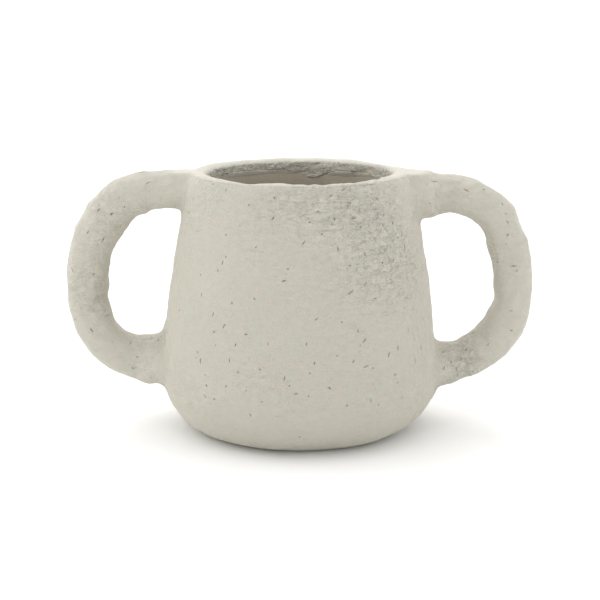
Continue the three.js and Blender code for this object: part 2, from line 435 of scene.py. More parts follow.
# The folded band's ragged lower edge on the inside: its height, its waves as how often and how
# high, and one droop as azimuth, width and depth
BAND_EDGE = 179.3
BAND_EDGE_WAVES = ((0.9, 1.5), (3.4, 1.3), (11, 0.9))
BAND_EDGE_LEVEL = 0.4
BAND_DROOP = (82, 12, 7.0)
BAND_EDGE_LOWEST = 171.5
BAND_STEP = 1.3
BAND_FADE = 2
BAND_FACE = 65.5
BAND_ROUGHNESS = 1.4

# The wall's face just below the band. The left side is laid on thicker: azimuth, width and height.
NECK_FACE = 66.9
NECK_BOTTOM = 169
NECK_ROUGHNESS = 0.15
LEFT_SIDE_IN = (180, 35, 1.6)
INSIDE_RADIUS = 71.5
INSIDE_TOP = 183.5

# The relief fades out over this height above the foot
FOOT_FADE = 5


def ramp_up(value, low, high):
    """0 below low, 1 above high and smooth between them."""
    share = min(1.0, max(0.0, (value - low) / (high - low)))
    return share * share * (3 - 2 * share)


def sampled(point, size, shift=0.0):
    return noise.noise((point + Vector((shift, shift, shift))) / size)


def strength_at(point, places):
    total = 0.0
    for centre, reach, strength in places:
        distance = (point - Vector(centre)).length / reach
        if distance < 3:
            total += strength * math.exp(-distance * distance)
    return total


def roughness_at(point):
    if is_inside(point):
        return inside_roughness(point)
    size, strength = PATCHES
    patches = strength * max(0.0, sampled(point, size, 50))
    return CALM + patches + ARM_ROUGHNESS * arm_share(point) + strength_at(point, ROUGH_PLACES)


def crumple(point):
    """Small mounds with creases between them, as of wet pulp that was pressed on and left."""
    size, height = CRUMPLES
    bend_size, bend = CRUMPLE_BEND
    gain, level = CRUMPLE_MOUNDS
    fine_size, fine_height = FINE_CRUMPLES
    drawn_out = Vector((point.x / CRUMPLE_STRETCH, point.y / CRUMPLE_STRETCH, point.z))
    bent = drawn_out + bend * noise.noise_vector(point / bend_size)
    mounds = gain * abs(sampled(bent, size, 20)) + level
    fine = sampled(bent, size * fine_size, 70)
    return height * (mounds + fine_height * fine)


def pressed_flats(point):
    """Flat places between soft ridges, where the handles were pressed into shape."""
    size, height = FLATS
    return height * (FLAT_LEVEL - abs(sampled(point, size, 90)))


def smear(point):
    """Long ridges that run with the handle, from the strips and fingers that formed it."""
    away = Vector((point.x - math.copysign(LOOP_X, point.x), point.z - LOOP_HEIGHT))
    along = math.atan2(away.y, away.x) * LOOP_BEND
    change_size, change = SMEAR_CHANGE
    total = 0.0
    for along_size, across_size, height in (SMEARS, RIPPLES):
        sample = Vector((along / along_size, away.length / across_size, point.y / across_size))
        total += height * noise.noise(sample)
    return total * (1 + change * noise.noise(point / change_size))


def upright_grain(point):
    """Fine upright wrinkles."""
    across, along, height = UPRIGHT_GRAIN
    return height * noise.noise(Vector((point.x / across, point.y / across, point.z / along)))


def arm_share(point):
    """0 on the pot's body, 1 on the handles."""
    start = ARM_START_LOW if point.z < ARM_SPLIT else ARM_START_HIGH
    return ramp_up(math.hypot(point.x, point.y), start, start + ARM_FADE)


def relief(point):
    """How far the surface stands out at a point, in millimetres."""
    rough = roughness_at(point)
    arm = arm_share(point)
    lumps_size, lumps_height = LUMPS
    presses_size, presses_height = PRESSES
    height = lumps_height * sampled(point, lumps_size)
    height += presses_height * (CALM_PRESSES + rough) * sampled(point, presses_size, 31)
    height += rough * crumple(point)
    height += strength_at(point, GRAINY_PLACES) * upright_grain(point)
    height += strength_at(point, SWELLS)
    if arm > 0:
        height += arm * (smear(point) + pressed_flats(point))
    return height


def bump_at(azimuth, centre, width, height):
    """A smooth bump at an azimuth round the axis. Angles are in degrees."""
    off = (azimuth - centre + 180) % 360 - 180
    return height * math.exp(-((off / width) ** 2))


def rim_lift(azimuth):
    around = Vector((math.cos(math.radians(azimuth)), math.sin(math.radians(azimuth)), 0))
    often, height = RIM_WAVE
    lift = height * noise.noise(around * often)
    return lift + sum(bump_at(azimuth, *rise) for rise in RIM_LIFTS)


def band_edge(azimuth):
    """The height of the folded band's lower edge."""
    turn = math.radians(azimuth)
    around = Vector((math.cos(turn), math.sin(turn), BAND_EDGE_LEVEL))
    edge = BAND_EDGE - bump_at(azimuth, *BAND_DROOP)
    edge += sum(height * noise.noise(around * often) for often, height in BAND_EDGE_WAVES)
    return max(edge, BAND_EDGE_LOWEST)


def neck_radius(azimuth, height):
    """The inside's radius by the mouth: the wall's smooth face, then the band's, set in from it."""
    share = ramp_up(height, band_edge(azimuth) - BAND_STEP, band_edge(azimuth))
    face = NECK_FACE + (BAND_FACE - NECK_FACE) * share
    return face - bump_at(azimuth, *LEFT_SIDE_IN)


def inside_roughness(point):
    """Ragged on the band's inner face, and nearly smooth on the wall below it."""
    edge = band_edge(math.degrees(math.atan2(point.y, point.x)))
    share = ramp_up(point.z, edge - BAND_FADE, edge)
    return NECK_ROUGHNESS + (BAND_ROUGHNESS - NECK_ROUGHNESS) * share


def is_inside(point):
    """Whether a point lies on the band's inner face or on the wall's just below it."""
    radius = math.hypot(point.x, point.y)
    return radius < INSIDE_RADIUS and NECK_BOTTOM < point.z < INSIDE_TOP


def rough_up(shape):
    """Shapes the lip and gives the lump its relief."""
    shape.normal_update()
    for vert in shape.verts:
        point = vert.co / MM
        radius = math.hypot(point.x, point.y)
        azimuth = math.degrees(math.atan2(point.y, point.x))
        if is_inside(point):
            eased = min(radius, neck_radius(azimuth, point.z))
            point.x *= eased / radius
            point.y *= eased / radius
        point += vert.normal * (ramp_up(point.z, 0, FOOT_FADE) * relief(point))
        if radius < LIP_OUTSIDE:
            point.z += ramp_up(point.z, *LIP_RISE) * rim_lift(azimuth)
        point.z = max(point.z, 0.0)
        vert.co = point * MM


lump = pulp_lump()
body = bmesh.new()
body.from_mesh(lump.data)
round_off(body)
above_foot = [vert for vert in body.verts if vert.co.z > FOOT_ZONE]
smooth(body, above_foot, LIP_SMOOTHINGS)
below_lip = [
    vert for vert in above_foot if vert.co.z < LIP_ZONE or vert.co.xy.length > LIP_REACH
]
smooth(body, below_lip, SMOOTHINGS)
rough_up(body)

# Pits and nicks, cut into the lump. The ones in front lie where the photograph shows them. Lengths
# are in millimetres, apart from the photograph's own.

PHOTO_PIXELS = 600
PIXEL_SIZE = 0.7
PIT_DEPTH = (0.7, 1.5)
PIT_WIDTH = (0.7, 1.2)
PIT_SIDES = 8
PIT_RINGS = 5
PIT_SPACING = 3.5
HIDDEN_PITS = 150
HIDDEN_LENGTH = (1.4, 4.5)
HIDDEN_FACING = 0.1
HIDDEN_FROM = 6
PIT_SEED = 7

# Pixel x and y, length in pixels and tilt in degrees from level, anticlockwise
PHOTO_PITS = [
    # Upper left of the body
    (193, 199, 3.5, 50), (205, 194, 2, 50), (226, 190, 2.5, 60), (213, 184.5, 2, 0),
    (198, 231, 2.5, 20), (226, 235, 2, 60), (273, 218.5, 4.5, 50), (303.5, 243, 6, 55),
    (256, 247, 2.5, 60), (222.5, 263, 5, 55), (226, 257, 2, 40), (218, 270.5, 3, -50),
    (200.5, 274.5, 2, 0), (284, 281, 4, 20), (288, 269, 1.8, 0), (189, 212, 4, 80),
    (274.5, 198, 2, 70), (240, 226, 1.6, 0), (249, 205, 1.6, 30),
    # Upper right of the body
    (350, 203, 2.5, 0), (318, 211.5, 3, 30), (334.5, 219.5, 4, 85), (353.5, 218, 3, 10),
    (360.5, 227, 3, 70), (392.5, 223.5, 4.5, 75), (383, 225, 2.5, 30), (401.5, 235, 5, -65),
    (404.5, 246, 5, -75), (406, 257, 4.5, -85), (423, 268.5, 7.5, -48), (393.5, 260, 5, 65),
    (338, 249, 5, 85), (365, 254, 5, -55), (356.5, 269, 2, 0), (365.5, 284, 5, 55),
    (371.5, 194, 3, -40), (398, 238, 4, 85), (350, 265.5, 2, 20), (382.5, 263, 2.5, -60),
    (414, 213, 2.5, 60), (331, 196, 5, 40), (343, 190, 6, 35), (377, 199, 5, -30),
    (390, 204, 5, -35), (403, 178.5, 5, -50), (322, 234, 2, 0), (310, 222, 2, 30),
    # Lower left of the body
    (201.5, 295, 4, 85), (179.5, 310.5, 2.5, -60), (213, 314.5, 5, 55), (224, 326, 6, 50),
    (214, 332, 3, 50), (197.5, 352, 3.5, -50), (246, 334.5, 3.5, 0), (235.5, 345, 4, 55),
    (254.5, 299, 2.5, -70), (253, 305, 3, 10), (229.5, 360.5, 4, 85), (206.5, 385.5, 2.2, 0),
    (214.5, 399, 2.4, 0), (260, 369.5, 2, 0), (256.5, 374, 2, 30), (284.5, 378.5, 5, 70),
    (289.5, 386, 2.5, 20), (296, 394, 4.5, 5), (250.5, 415, 3.5, -50), (205, 375, 2, -40),
    (246, 390.5, 2, 60), (200.5, 361, 6, 85), (205, 396.5, 5, -35), (232, 303, 3, 80),
    (262, 402, 2, 0), (226, 386, 2, 30), (238, 372, 2, 60), (268, 344, 1.6, 0),
    # Lower right of the body
    (350.5, 292.5, 8, 35), (375, 298.5, 5, 10), (316.5, 319, 4, 45), (306.5, 344, 3, 80),
    (358, 331, 4, -60), (364.5, 340.5, 6, 52), (353.5, 361.5, 4, 48), (366, 366.5, 6.5, 15),
    (355.5, 368, 4, 10), (408, 329, 7, -70), (414.5, 338.5, 4.5, -80), (421, 348.5, 4, -60),
    (415.5, 361, 6.5, 85), (395, 375, 2.5, 0), (397.5, 382.5, 2.5, 0), (432.5, 340.5, 2.5, -60),
    (329.5, 388, 4, -40), (308.5, 396, 2.5, 80), (314.5, 363.5, 3, 60), (371, 400.5, 3.5, 85),
    (378.5, 405, 3, 80), (347, 405.5, 3, 20), (398, 348, 6, 85), (389, 354.5, 6, 70),
    (402, 398, 2, 0), (337, 356, 2, 0), (342, 322, 2.5, 60), (423, 318, 4, 80),
    # The left handle
    (178, 208.5, 4.5, 20), (94, 274, 3, 50), (98, 279, 5, -60), (101, 285, 4, -60),
    (72.5, 270.5, 6, -60), (124.5, 207, 2.5, 50), (98.5, 210, 4, 45), (120.5, 226.5, 3, 50),
    (151, 339, 8, 35), (158.5, 340, 3, 80), (130.5, 343, 3, 70), (137.5, 357, 3, 10),
    (145.5, 369.5, 3, 0), (133, 368, 4, -30), (92, 330.5, 6, -50), (107.5, 315.5, 8, 15),
    (112, 321.5, 4, -30), (151, 378, 4, 85), (103, 240, 6, 70), (143, 172, 7, 20),
    (148, 183, 6, 35), (88, 232, 4, 70), (112, 214, 4, 40), (84, 345, 3, -40),
    # The right handle
    (432.5, 214.5, 5.5, 50), (505.8, 214, 2.5, 0), (507.5, 222, 4, -60), (507.5, 235, 3, 10),
    (494, 245, 2.5, 0), (513.5, 266, 6, 5), (483.5, 189.5, 2.5, 0), (502, 204, 3, 0),
    (434, 181.5, 8, 8), (461, 358.5, 4.5, 70), (461.5, 364, 5, 80), (457.5, 376.5, 4, 20),
    (448.5, 380, 5, 10), (473, 371.5, 3.5, 30), (449, 347, 5, 20), (443, 352, 4, 70),
    (451, 362, 4, 80), (444, 368, 4, 60), (466, 350, 4, 60), (456, 369, 4, -60),
    (488, 344.5, 3, 50), (511.5, 330.5, 3, 30), (510.5, 311, 3, 0), (472.5, 333, 4, 40),
    (497, 262, 3, 10), (466, 190, 6, -30),
]


def pit_cutter(cutters, place, normal, along, length, draw):
    """Adds an oval cutter to the others. It lies along the surface, half sunk into it."""
    across = normal.cross(along).normalized()
    turn = Matrix((along, across, normal)).transposed().to_4x4()
    size = Vector((length, draw.uniform(*PIT_WIDTH), 2 * draw.uniform(*PIT_DEPTH))) * MM / 2
    made = bmesh.ops.create_uvsphere(
        cutters, u_segments=PIT_SIDES, v_segments=PIT_RINGS, radius=1
    )
    stretch = Matrix.Diagonal((*size, 1))
    bmesh.ops.transform(
        cutters, matrix=Matrix.Translation(place) @ turn @ stretch, verts=made["verts"]
    )


def photo_spots(surface, eye):
    """Where the photographed pits lie on the lump: place, normal, direction and length."""
    turn = eye.matrix_world
    scale = eye.data.sensor_width / PHOTO_PIXELS
    spots = []
    for x, y, length, tilt in PHOTO_PITS:
        offset_x = (x - PHOTO_PIXELS / 2) * scale
        offset_y = (PHOTO_PIXELS / 2 - y) * scale
        way = turn.to_3x3() @ Vector((offset_x, offset_y, -eye.data.lens))
        place, normal, _, _ = surface.ray_cast(turn.translation, way.normalized())
        if place is None:
            continue
        slope = math.radians(tilt)
        along = turn.to_3x3() @ Vector((math.cos(slope), math.sin(slope), 0))
        along = (along - normal * along.dot(normal)).normalized()
        spots.append((place, normal, along, length * PIXEL_SIZE))
    return spots


def hidden_spots(shape, draw):
    """Pits spread over the sides that the photograph doesn't show."""
    unseen = [
        vert
        for vert in shape.verts
        if vert.normal.y > HIDDEN_FACING and vert.co.z > HIDDEN_FROM * MM
    ]
    spots = []
    for vert in draw.sample(unseen, HIDDEN_PITS):
        flat = Vector((draw.uniform(-1, 1), draw.uniform(-1, 1), draw.uniform(-1, 1)))
        along = (flat - vert.normal * flat.dot(vert.normal)).normalized()
        length = draw.uniform(*HIDDEN_LENGTH)
        spots.append((vert.co.copy(), vert.normal.copy(), along, length))
    return spots


def cut_pits(stock, shape, eye):
    cutters = bmesh.new()
    kept = []
    draw = random.Random(PIT_SEED)
    surface = BVHTree.FromBMesh(shape)
    spots = photo_spots(surface, eye) + hidden_spots(shape, draw)
    for place, normal, along, length in spots:
        if all((place - other).length > (PIT_SPACING + length / 2) * MM for other in kept):
            pit_cutter(cutters, place, normal, along, length, draw)
            kept.append(place)
    cutter = as_object("pit_cutters", cutters)
    cut(stock, cutter, "DIFFERENCE")
    bpy.data.objects.remove(cutter)


body.normal_update()
eye = camera()
body.to_mesh(lump.data)
cut_pits(lump, body, eye)
body.free()

# The lump's pieces


def hollow_out(stock):
    """Opens the cavity below the mouth, drawn in to the neck's face near its top."""
    neck = [(NECK_OPENING, TAPER_TOP), (NECK_OPENING, NECK_TOP), (0, NECK_TOP)]
    cell = as_object("cell", spun([*cavity(CAVITY_TOP, floor_top, 0), *neck]))
    cut(stock, cell, "DIFFERENCE")
    bpy.data.objects.remove(cell)


def body_inside(inset):
    """A drum that fills the pot's outside, kept in from it by inset."""
    line = [(radius - inset, height) for radius, height in outside_line]
    top = (0, line[-1][1] + CUT_REACH)
    return spun([(0, -CUT_REACH), (line[0][0], -CUT_REACH), *line, (line[-1][0], top[1]), top])


def handle_cell(side):
    """Everything past the ends of the collars, and the handle's own ends inside them."""
    sign = SIDES[side]
    low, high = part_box(f"{side}_handle")
    outer = sign * (max(abs(low[0]), abs(high[0])) + CUT_REACH)
    middle = (low[2] + high[2]) / 2
    levels = {"upper": (middle, high[2] + CUT_REACH), "lower": (low[2] - CUT_REACH, middle + MM)}
    cell = as_object("cell", merged_copy([f"{side}_handle", f"{side}_handle_core"]))
    for end, (bottom, top) in levels.items():
        near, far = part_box(f"{side}_{end}_collar")
        inner = sign * max(abs(near[0]), abs(far[0]))
        xs = sorted((inner, outer))
        corner_low = Vector((xs[0], low[1] - CUT_REACH, bottom))
        corner_high = Vector((xs[1], high[1] + CUT_REACH, top))
        beyond = as_object("beyond", block(corner_low, corner_high))
        cut(cell, beyond, "UNION")
        bpy.data.objects.remove(beyond)
    return cell


def collar_cell(name):
    low, high = (Vector(corner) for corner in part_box(name))
    margin = Vector((COLLAR_MARGIN,) * 3)
    cell = as_object("cell", drum(low - margin, high + margin))
    pot = as_object("pot", body_inside(COLLAR_ROOT))
    cut(cell, pot, "DIFFERENCE")
    bpy.data.objects.remove(pot)
    return cell


def floor_cell():
    """The CAD floor's steps, with room above and below."""
    steps = [(radius, height) for radius, height in floor_outline if radius > 0]
    steps[0] = (steps[0][0], -CUT_REACH)
    steps[-1] = (steps[-1][0], floor_top + MM)
    return as_object("cell", spun([(0, -CUT_REACH), *steps, (0, floor_top + MM)]))


def band_cell():
    """From under the CAD band outwards, past the crest and the mouth, with a ragged lower edge."""
    outer_index = max(range(len(band_outline)), key=lambda index: band_outline[index][0])
    under = band_outline[1 : outer_index + 1]
    top = under[-1][1] + CUT_REACH
    bottom = under[0][1]
    shape = spun([(0, bottom), *under, (under[-1][0], top), (0, top)])
    for vert in shape.verts:
        if vert.co.z < bottom + MM:
            azimuth = math.degrees(math.atan2(vert.co.y, vert.co.x))
            vert.co.z = (band_edge(azimuth) - BAND_STEP) * MM
    return as_object("cell", shape)


def drop_crumbs(piece):
    """Keeps the largest closed body of a piece, without the crumbs that a cut left beside it."""
    shape = bmesh.new()
    shape.from_mesh(piece.data)
    left = set(shape.verts)
    bodies = []
    while left:
        found = {left.pop()}
        to_visit = list(found)
        while to_visit:
            vert = to_visit.pop()
            beside = {edge.other_vert(vert) for edge in vert.link_edges} & left
            left -= beside
            found |= beside
            to_visit.extend(beside)
        bodies.append(found)
    bodies.sort(key=len)
    crumbs = [vert for crumb in bodies[:-1] for vert in crumb]
    bmesh.ops.delete(shape, geom=crumbs, context="VERTS")
    shape.to_mesh(piece.data)
    shape.free()


def bore(piece, core):
    """Opens the channel that a wire lies in."""
    cell = as_object("bore", merged_copy([core], WIRE_FIT))
    cut(piece, cell, "DIFFERENCE")
    bpy.data.objects.remove(cell)


hollow_out(lump)
pieces = {}
for side in SIDES:
    pieces[f"{side}_handle"] = carve(lump, handle_cell(side), f"{side}_handle_pulp")
    bore(pieces[f"{side}_handle"], f"{side}_handle_core")
    bore(lump, f"{side}_handle_core")
for name in COLLAR_NODES:
    pieces[name] = carve(lump, collar_cell(name), f"{name}_pulp")
pieces["pot_floor"] = carve(lump, floor_cell(), "pot_floor_pulp")
pieces["rim_band"] = carve(lump, band_cell(), "rim_band_pulp")
lump.name = "pot_wall_pulp"
pieces["pot_wall"] = lump
for piece in pieces.values():
    drop_crumbs(piece)


def mark_surface(piece):
    """Stores how rough and grainy the pulp is at each point, and how much painted shade and painted
    light its colour gets, for its material.
    """
    layers = {"rough": [], "grainy": [], "painted_shade": [], "painted_light": []}
    for vert in piece.data.vertices:
        point = vert.co / MM
        layers["rough"].append(roughness_at(point))
        layers["grainy"].append(strength_at(point, GRAINY_PLACES))
        layers["painted_shade"].append(strength_at(point, PAINTED_SHADE_PLACES))
        crest = PAINTED_CREST_LIGHT * ramp_up(point.z, *PAINTED_CREST_FROM)
        arm = arm_share(point)
        layers["painted_light"].append(crest * (1 - arm) + PAINTED_ARM_LIGHT * arm)
    for name, values in layers.items():
        layer = piece.data.attributes.new(name, "FLOAT", "POINT")
        layer.data.foreach_set("value", values)


def shade(piece):
    piece.data.shade_smooth()
    piece.data.set_sharp_from_angle(angle=math.radians(SHARP_ANGLE))


# The coat inside

COAT_LONGEST_EDGE = 5
COAT_CUTS = 3
COAT_COLOURS = ((0.44, 0.4, 0.325), (0.52, 0.475, 0.395))
COAT_TOP = 181
COAT_FACE = 65.8
COAT_BEHIND_BAND = 0.5
COAT_DRAWN_FROM = 156
COAT_DRAWN_TO = 167
COAT_WAVE = 0.3
COAT_WAVE_SIZE = 14


def coat():
    """The brushed-on coat: the CAD lining with finer faces, drawn in at the neck up to the band."""
    outline = section("lining")
    shape = spun(outline)
    long_edges = [edge for edge in shape.edges if edge.calc_length() > COAT_LONGEST_EDGE * MM]
    bmesh.ops.subdivide_edges(shape, edges=long_edges, cuts=COAT_CUTS, use_grid_fill=True)
    top = max(height for _, height in outline) / MM
    inner = min(radius for radius, height in outline if height > 0.9 * top * MM) / MM
    depth = inside_radius(top * MM) / MM - inner
    for vert in shape.verts:
        point = vert.co / MM
        radius = math.hypot(point.x, point.y)
        if radius < 1 or point.z < COAT_DRAWN_FROM:
            continue
        drawn = ramp_up(point.z, COAT_DRAWN_FROM, COAT_DRAWN_TO)
        azimuth = math.degrees(math.atan2(point.y, point.x))
        rise = (COAT_TOP - top) * ramp_up(point.z, COAT_DRAWN_TO, top)
        face = COAT_FACE + COAT_WAVE * sampled(point, COAT_WAVE_SIZE)
        edge = band_edge(azimuth)
        face += COAT_BEHIND_BAND * ramp_up(point.z + rise, edge - BAND_FADE, edge)
        face -= bump_at(azimuth, *LEFT_SIDE_IN)
        plain_face = inside_radius(vert.co.z) / MM - depth
        moved = radius + drawn * (face - plain_face)
        vert.co = Vector((point.x * moved / radius, point.y * moved / radius, point.z + rise)) * MM
    return as_object("brushed_coat", shape)


# Materials. Lengths are in millimetres here too.

FOLD_STRETCH = (0.42, 0.42, 1.0)
GRAIN_STRETCH = (1.0, 1.0, 0.2)
GREEN_TINT = (0.965, 1.0, 0.975)
PINK_TINT = (1.0, 0.97, 0.955)
PULP_BASE = (0.51, 0.484, 0.42)
STRIP_BASE = (0.42, 0.38, 0.32)
# Painted shade colour for the pits, pores and creases
PIT_SHADE_COLOUR = (0.2, 0.18, 0.145)
FIBRE_COLOUR = (0.29, 0.265, 0.215)
# Painted shade colour for the shaded places
PAINTED_SHADE_COLOUR = (0.36, 0.33, 0.275)
# Painted light colour for the crest, the handles and the fold ridges
PAINTED_LIGHT_COLOUR = (0.68, 0.655, 0.58)
SHEEN_TINT = (1.0, 0.96, 0.86, 1)
WIRE_COLOURS = ((0.34, 0.34, 0.335), (0.5, 0.5, 0.49))


def feed(tree, node, inputs):
    """Fills a node's inputs, each with a value or with another node's output."""
    for name, value in inputs.items():
        if isinstance(value, bpy.types.NodeSocket):
            tree.links.new(value, node.inputs[name])
        else:
            node.inputs[name].default_value = value


def add(tree, kind, inputs=None, **settings):
    """A node with its settings and inputs."""
    made = tree.nodes.new(kind)
    for name, value in settings.items():
        setattr(made, name, value)
    feed(tree, made, inputs or {})
    return made


def calc(tree, operation, *values, clamp=False):
    """The output of a Math node."""
    inputs = dict(enumerate(values))
    return add(tree, "ShaderNodeMath", inputs, operation=operation, use_clamp=clamp).outputs[0]


def vector_calc(tree, operation, *values, output="Vector"):
    """An output of a Vector Math node."""
    inputs = dict(enumerate(values))
    return add(tree, "ShaderNodeVectorMath", inputs, operation=operation).outputs[output]


def dot(tree, first, second):
    return vector_calc(tree, "DOT_PRODUCT", first, second, output="Value")


def times(tree, vector, factor):
    """A vector times a number."""
    inputs = {0: vector, "Scale": factor}
    return add(tree, "ShaderNodeVectorMath", inputs, operation="SCALE").outputs["Vector"]


def centred(tree, colour):
    """A random colour as a vector that points any way."""
    return vector_calc(tree, "SUBTRACT", colour, (0.5, 0.5, 0.5))


def scaled(tree, value, factor, start=0.0):
    """start + value * factor."""
    return calc(tree, "ADD", calc(tree, "MULTIPLY", value, factor), start)


def ramp(tree, value, low, high, to_low=0.0, to_high=1.0):
    """Maps low..high smoothly to to_low..to_high."""
    inputs = {"Value": value, 1: low, 2: high, 3: to_low, 4: to_high}
    return add(tree, "ShaderNodeMapRange", inputs, interpolation_type="SMOOTHSTEP").outputs[0]


def noise_of(tree, vector, scale, detail=2.0, output="Fac", **inputs):
    values = {"Vector": vector, "Scale": scale, "Detail": detail, **inputs}
    return add(tree, "ShaderNodeTexNoise", values).outputs[output]


def blend_colours(tree, share, first, second, mode="MIX"):
    mixer = add(tree, "ShaderNodeMix", {0: share}, data_type="RGBA", blend_type=mode)
    for slot, colour in ((6, first), (7, second)):
        if isinstance(colour, bpy.types.NodeSocket):
            tree.links.new(colour, mixer.inputs[slot])
        else:
            mixer.inputs[slot].default_value = (*colour, 1)
    return mixer.outputs[2]


def effect_group(name, inputs, outputs):
    """An empty node group with named sockets: its tree, its inputs' outlets and its output node."""
    tree = bpy.data.node_groups.new(name, "ShaderNodeTree")
    for socket_name, kind, value in inputs:
        socket = tree.interface.new_socket(
            socket_name, in_out="INPUT", socket_type=f"NodeSocket{kind}"
        )
        if value is not None:
            socket.default_value = value
    for socket_name, kind in outputs:
        tree.interface.new_socket(
            socket_name, in_out="OUTPUT", socket_type=f"NodeSocket{kind}"
        )
    entry = tree.nodes.new("NodeGroupInput")
    leave = tree.nodes.new("NodeGroupOutput")
    return tree, entry.outputs, leave.inputs


def cells_of(tree, place, size):
    """The outputs of a Voronoi texture with cells of a size."""
    scale = calc(tree, "DIVIDE", 1.0, size)
    inputs = {"Vector": place, "Scale": scale, "Randomness": 1.0}
    return add(tree, "ShaderNodeTexVoronoi", inputs).outputs


def fibre_group():
    """Short dark strands and nicks, one to a cell, that lie in the surface at any angle."""
    tree, given, result = effect_group(
        "pulp_fibres",
        [("Place", "Vector", None), ("Cell", "Float", 9.0), ("Length", "Float", 4.0),
         ("Width", "Float", 0.35), ("Share", "Float", 0.5)],
        [("Mask", "Float")],
    )
    cells = cells_of(tree, given["Place"], given["Cell"])
    parts = add(tree, "ShaderNodeSeparateColor", {"Color": cells["Color"]}).outputs
    normal = add(tree, "ShaderNodeNewGeometry").outputs["Normal"]
    any_way = centred(tree, cells["Color"])
    along = vector_calc(tree, "NORMALIZE", vector_calc(tree, "CROSS_PRODUCT", normal, any_way))
    centre = times(tree, cells["Position"], given["Cell"])
    bend = centred(tree, noise_of(tree, given["Place"], 0.3, output="Color"))
    away = vector_calc(tree, "ADD", vector_calc(tree, "SUBTRACT", given["Place"], centre), bend)
    flat = vector_calc(tree, "SUBTRACT", away, times(tree, normal, dot(tree, away, normal)))
    half = calc(tree, "MULTIPLY", given["Length"], scaled(tree, parts[0], 0.6, 0.15))
    run = calc(tree, "MINIMUM", dot(tree, flat, along), half)
    run = calc(tree, "MAXIMUM", run, calc(tree, "MULTIPLY", half, -1.0))
    aside = vector_calc(tree, "SUBTRACT", flat, times(tree, along, run))
    distance = vector_calc(tree, "LENGTH", aside, output="Value")
    core = calc(tree, "MULTIPLY", given["Width"], 0.35)
    stroke = ramp(tree, distance, core, given["Width"], 1.0, 0.0)
    chosen = calc(tree, "LESS_THAN", parts[1], given["Share"])
    strength = scaled(tree, parts[2], 0.65, 0.35)
    mask = calc(tree, "MULTIPLY", calc(tree, "MULTIPLY", stroke, chosen), strength)
    tree.links.new(mask, result["Mask"])
    return tree


def pit_group():
    """Small round holes, one to a cell and each of its own size. 1 at the bottom of a hole."""
    tree, given, result = effect_group(
        "pulp_pits",
        [("Place", "Vector", None), ("Cell", "Float", 5.0), ("Radius", "Float", 0.7)],
        [("Mask", "Float")],
    )
    warp = centred(tree, noise_of(tree, given["Place"], 0.8, output="Color"))
    place = vector_calc(tree, "ADD", given["Place"], warp)
    cells = cells_of(tree, place, given["Cell"])
    parts = add(tree, "ShaderNodeSeparateColor", {"Color": cells["Color"]}).outputs
    distance = calc(tree, "MULTIPLY", cells["Distance"], given["Cell"])
    size = calc(tree, "ADD", calc(tree, "POWER", parts[0], 2.0), 0.2)
    radius = calc(tree, "MULTIPLY", given["Radius"], size)
    bottom = calc(tree, "MULTIPLY", radius, 0.3)
    tree.links.new(ramp(tree, distance, bottom, radius, 1.0, 0.0), result["Mask"])
    return tree


def crumple_group():
    """Folds of wet pulp that lie mostly level, with sharp, broken creases between them."""
    tree, given, result = effect_group(
        "pulp_crumples",
        [("Place", "Vector", None), ("Size", "Float", 4.0), ("Crease Width", "Float", 0.1)],
        [("Height", "Float"), ("Crease", "Float")],
    )
    drawn_out = vector_calc(tree, "MULTIPLY", given["Place"], FOLD_STRETCH)
    scale = calc(tree, "DIVIDE", 1.0, given["Size"])
    swing = noise_of(tree, drawn_out, scale, detail=3.0, Roughness=0.6, Distortion=1.0)
    off = calc(tree, "ABSOLUTE", calc(tree, "SUBTRACT", swing, 0.5))
    fold = calc(tree, "MULTIPLY", off, 2.0)
    tree.links.new(fold, result["Height"])
    crease = ramp(tree, fold, 0.0, given["Crease Width"], 1.0, 0.0)
    broken = ramp(tree, noise_of(tree, given["Place"], 0.3, detail=1.0), 0.48, 0.64)
    tree.links.new(calc(tree, "MULTIPLY", crease, broken), result["Crease"])
    return tree


def grain_group():
    """The height of the pulp's fine surface in millimetres: wrinkles, mush and upright grain."""
    tree, given, result = effect_group(
        "pulp_grain",
        [("Place", "Vector", None), ("Wrinkles", "Float", 0.2), ("Mush", "Float", 0.12),
         ("Upright", "Float", 0.0)],
        [("Height", "Float")],
    )
    bent = noise_of(tree, given["Place"], 0.2, detail=3.0, Roughness=0.6, Distortion=1.2)
    ridge = calc(tree, "ABSOLUTE", calc(tree, "SUBTRACT", bent, 0.5))
    wrinkles = calc(tree, "MULTIPLY", calc(tree, "MULTIPLY", ridge, 4.0), given["Wrinkles"])
    mush = noise_of(tree, given["Place"], 0.75, detail=4.0, Roughness=0.6)
    soft = calc(tree, "MULTIPLY", mush, given["Mush"])
    drawn_up = vector_calc(tree, "MULTIPLY", given["Place"], GRAIN_STRETCH)
    streaks = noise_of(tree, drawn_up, 0.6, detail=2.0)
    upright = calc(tree, "MULTIPLY", streaks, given["Upright"])
    height = calc(tree, "ADD", calc(tree, "ADD", wrinkles, soft), upright)
    tree.links.new(height, result["Height"])
    return tree


def tint_group():
    """Pulp colour that drifts between a greenish grey and a faint pink in soft patches."""
    tree, given, result = effect_group(
        "pulp_tint",
        [("Place", "Vector", None), ("Base", "Color", None), ("Drift", "Float", 1.0)],
        [("Color", "Color")],
    )
    wide = ramp(tree, noise_of(tree, given["Place"], 0.028, detail=2.0), 0.4, 0.62)
    small = ramp(tree, noise_of(tree, given["Place"], 0.11, detail=2.0), 0.45, 0.7)
    green = blend_colours(tree, given["Drift"], given["Base"], GREEN_TINT, "MULTIPLY")
    pink = blend_colours(tree, given["Drift"], given["Base"], PINK_TINT, "MULTIPLY")
    patchy = blend_colours(tree, calc(tree, "MULTIPLY", small, 0.8), green, pink)
    mixed = blend_colours(tree, calc(tree, "MULTIPLY", wide, 0.6), patchy, given["Base"])
    tree.links.new(mixed, result["Color"])
    return tree


fibres = fibre_group()
pits = pit_group()
crumples = crumple_group()
grain = grain_group()
tint = tint_group()


